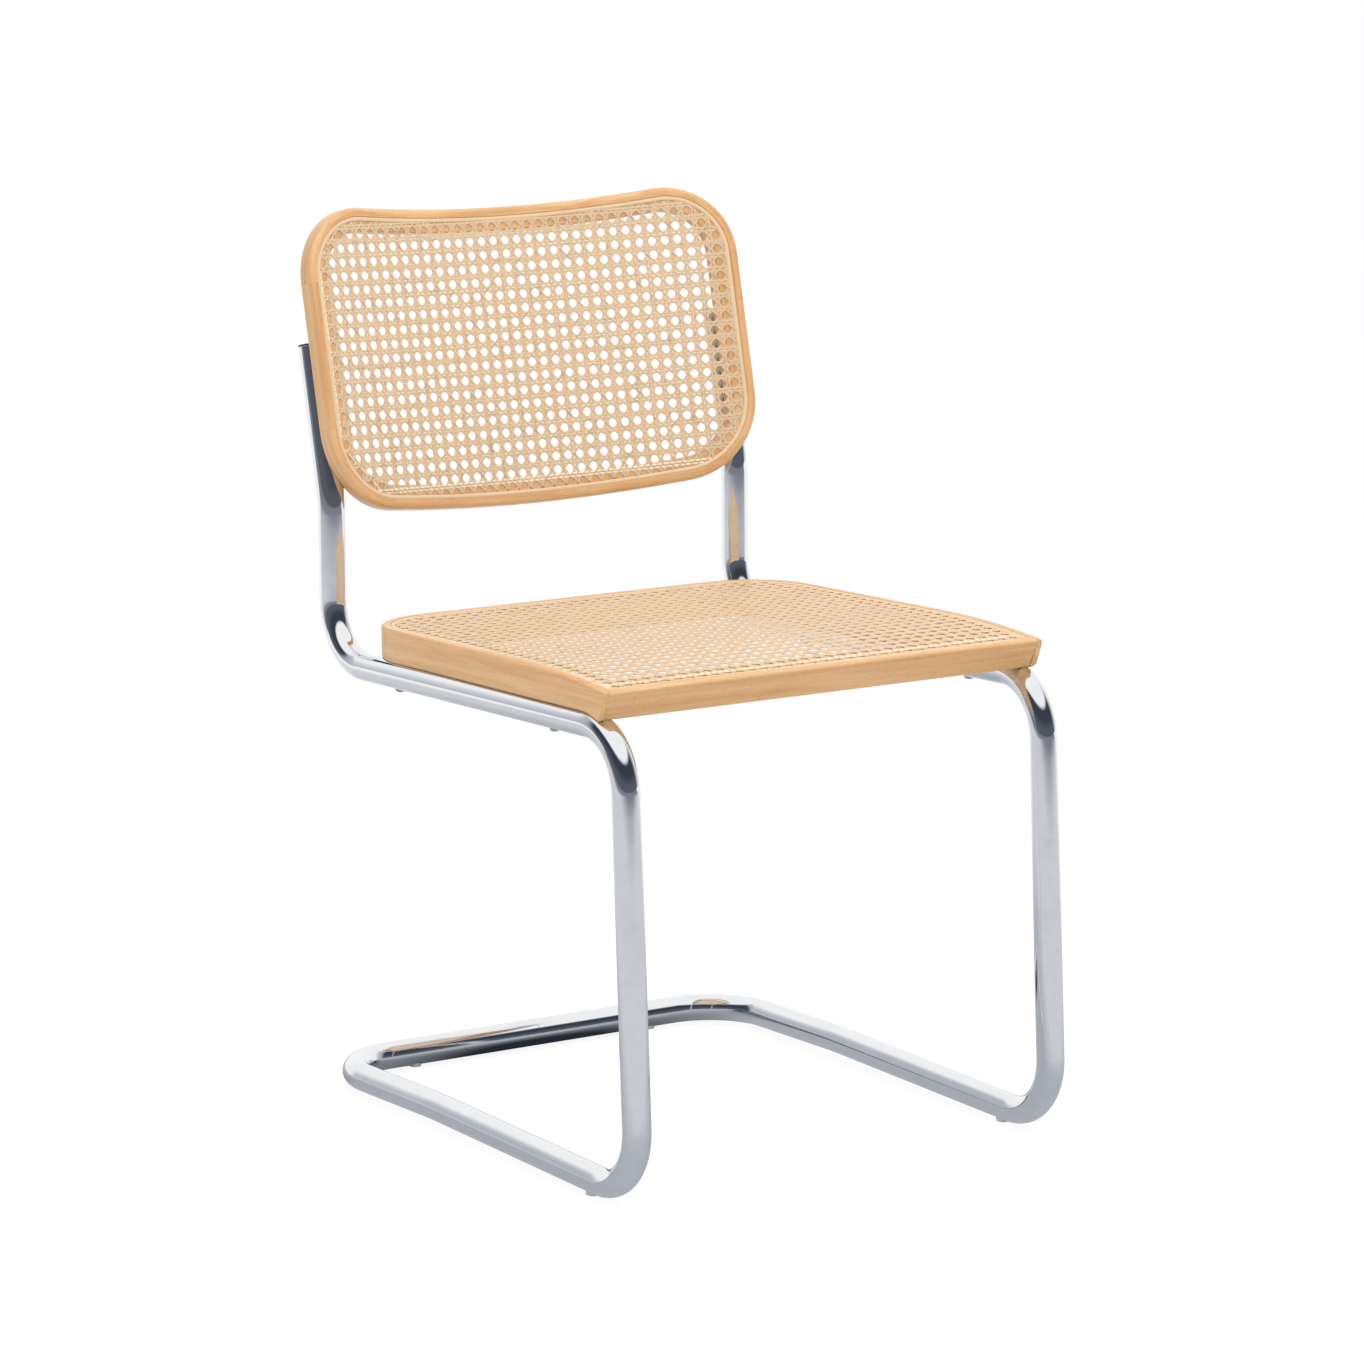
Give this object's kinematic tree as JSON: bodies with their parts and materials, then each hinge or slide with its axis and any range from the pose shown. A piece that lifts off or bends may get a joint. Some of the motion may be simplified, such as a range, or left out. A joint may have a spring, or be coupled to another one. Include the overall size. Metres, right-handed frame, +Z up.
{
  "type": "cantilever chair",
  "caption": "Armless cantilever dining chair: a bent chromed tube frame carries a wooden seat frame and a curved wooden backrest frame, both filled with woven cane.",
  "frame": {"origin": "centre of the chair's outline on the floor", "axes": "+Z up, -Y towards the front (where the sitter's knees are), +X to the chair's right as seen from the front; the chair is symmetric about X = 0"},
  "size_m": [0.465, 0.6013, 0.7974],
  "materials": {
    "chrome_tube": "polished",
    "steel": "zinc plated",
    "plug_plastic": "moulded",
    "glide_plastic": "moulded",
    "frame_wood": "satin lacquer",
    "dowel_wood": "raw beech",
    "cane": "woven natural cane",
    "spline_reed": "satin reed"
  },
  "bodies": {
    "root": {"frame_half_left": "chrome_tube", "frame_half_right": "chrome_tube", "rear_bar_sleeve": "steel", "splice_set_screws": "steel", "seat_screws": "steel", "seat_saddle_washers": "steel", "back_screws": "steel", "back_saddle_washers": "steel", "end_plug_left": "plug_plastic", "end_plug_right": "plug_plastic", "floor_glide_front_left": "glide_plastic", "floor_glide_front_right": "glide_plastic", "floor_glide_rear_left": "glide_plastic", "floor_glide_rear_right": "glide_plastic", "seat_front_rail": "frame_wood", "seat_bent_rail": "frame_wood", "back_bottom_rail": "frame_wood", "back_top_rail": "frame_wood", "back_stile_left": "frame_wood", "back_stile_right": "frame_wood", "seat_dowels": "dowel_wood", "back_dowels": "dowel_wood", "seat_cane": "cane", "back_cane": "cane", "seat_spline": "spline_reed", "back_spline": "spline_reed"}
  },
  "joints": []
}
